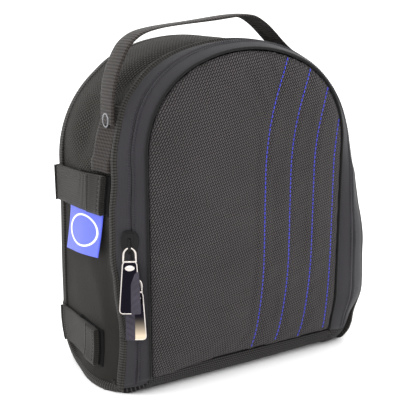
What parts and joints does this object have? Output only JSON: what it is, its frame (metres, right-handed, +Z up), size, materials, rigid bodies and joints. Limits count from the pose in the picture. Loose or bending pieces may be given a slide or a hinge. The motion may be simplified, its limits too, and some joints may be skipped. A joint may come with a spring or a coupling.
{
  "type": "padded arch-top gear bag",
  "caption": "Small padded arch-top soft bag with a zipped drop-down front, webbing top handle, side label and hook-and-loop straps across its back.",
  "frame": {"origin": "middle of the flat base, on the surface the bag stands on", "axes": "+Z up, -Y towards the zipped front, +X to the right seen from the front"},
  "size_m": [0.2482, 0.1217, 0.2865],
  "materials": {
    "ballistic_weave": "coarse diagonal ballistic nylon weave, matt",
    "panel_weave": "plain polyester pack cloth, matt",
    "lining_cloth": "smooth tricot lining",
    "foam": "closed-cell foam",
    "board": "thin stiffener sheet",
    "zip_tape": "fine herringbone zip tape",
    "zip_coil": "nylon coil under the tape",
    "binding": "ribbed grosgrain",
    "webbing": "ribbed nylon webbing",
    "hook_loop": "hook-and-loop pile",
    "piping": "corded edge piping",
    "rivet": "polished nickel",
    "slider": "gloss black enamel",
    "pull": "polished gunmetal",
    "grip": "grey ribbed rubber",
    "label": "woven satin label",
    "thread": "twisted polyester thread"
  },
  "bodies": {
    "shell": {"gusset_panel": "panel_weave", "gusset_foam": "foam", "gusset_lining": "lining_cloth", "back_panel": "panel_weave", "back_foam": "foam", "back_lining": "lining_cloth", "base_panel": "panel_weave", "base_foam": "foam", "base_board": "board", "base_lining": "lining_cloth", "front_edge_binding": "binding", "rear_edge_binding": "binding", "left_corner_binding": "binding", "right_corner_binding": "binding", "body_zip_tape": "zip_tape", "body_zip_coil": "zip_coil", "zip_end_tabs": "zip_tape", "handle_end_left": "webbing", "handle_end_right": "webbing", "rivet_left": "rivet", "rivet_right": "rivet", "upper_strap_back": "webbing", "lower_strap_back": "webbing", "upper_loop_patch_left": "hook_loop", "upper_loop_patch_right": "hook_loop", "lower_loop_patch_left": "hook_loop", "lower_loop_patch_right": "hook_loop"},
    "flap": {"front_panel": "ballistic_weave", "front_foam": "foam", "front_lining": "lining_cloth", "front_piping": "piping", "flap_zip_tape": "zip_tape", "flap_zip_coil": "zip_coil", "quilt_threads": "thread"},
    "upper_slider": {"upper_slider": "slider"},
    "lower_slider": {"lower_slider": "slider"},
    "upper_pull": {"upper_pull": "pull", "upper_pull_grip": "grip"},
    "lower_pull": {"lower_pull": "pull", "lower_pull_grip": "grip"},
    "handle": {"handle_webbing": "webbing"},
    "label": {"flag_label": "label"},
    "upper_tab_left": {"upper_tab_left": "webbing", "upper_hook_patch_left": "hook_loop"},
    "upper_tab_right": {"upper_tab_right": "webbing", "upper_hook_patch_right": "hook_loop"},
    "lower_tab_left": {"lower_tab_left": "webbing", "lower_hook_patch_left": "hook_loop"},
    "lower_tab_right": {"lower_tab_right": "webbing", "lower_hook_patch_right": "hook_loop"}
  },
  "joints": [
    {"name": "flap_open", "type": "hinge", "parent": "shell", "child": "flap", "pos_m": [0, -0.058, 0.016], "axis": [1, 0, 0], "range_deg": [0, 90], "deforming": ["flap_zip_tape", "flap_zip_coil"]},
    {"name": "upper_slider_slide", "type": "slide", "parent": "shell", "child": "upper_slider", "axis": [0, 0, 1], "range_m": [0, 0.048]},
    {"name": "lower_slider_slide", "type": "slide", "parent": "shell", "child": "lower_slider", "axis": [0, 0, -1], "range_m": [0, 0.042]},
    {"name": "upper_pull_swing", "type": "hinge", "parent": "upper_slider", "child": "upper_pull", "pos_m": [-0.10138, -0.05405, 0.1175], "axis": [-0.8793, 0.4763, 0], "range_deg": [0, 135]},
    {"name": "lower_pull_swing", "type": "hinge", "parent": "lower_slider", "child": "lower_pull", "pos_m": [-0.10138, -0.05405, 0.094], "axis": [-0.8793, 0.4763, 0], "range_deg": [0, 14]},
    {"name": "handle_tilt", "type": "hinge", "parent": "shell", "child": "handle", "pos_m": [0, -0.022, 0.206], "axis": [1, 0, 0], "range_deg": [-25, 25], "stiffness_Nm_per_rad": 0.05},
    {"name": "label_flip", "type": "hinge", "parent": "shell", "child": "label", "pos_m": [-0.11702, 0.00006, 0.138], "axis": [-0.0822, 0.9966, 0], "range_deg": [0, 75]},
    {"name": "upper_tab_left_peel", "type": "hinge", "parent": "shell", "child": "upper_tab_left", "pos_m": [-0.12322, 0.04972, 0.153], "axis": [0, 0, -1], "range_deg": [0, 100]},
    {"name": "upper_tab_right_peel", "type": "hinge", "parent": "shell", "child": "upper_tab_right", "pos_m": [0.12322, 0.04972, 0.153], "axis": [0, 0, 1], "range_deg": [0, 100]},
    {"name": "lower_tab_left_peel", "type": "hinge", "parent": "shell", "child": "lower_tab_left", "pos_m": [-0.12322, 0.04972, 0.032], "axis": [0, 0, -1], "range_deg": [0, 100]},
    {"name": "lower_tab_right_peel", "type": "hinge", "parent": "shell", "child": "lower_tab_right", "pos_m": [0.12322, 0.04972, 0.032], "axis": [0, 0, 1], "range_deg": [0, 100]}
  ]
}
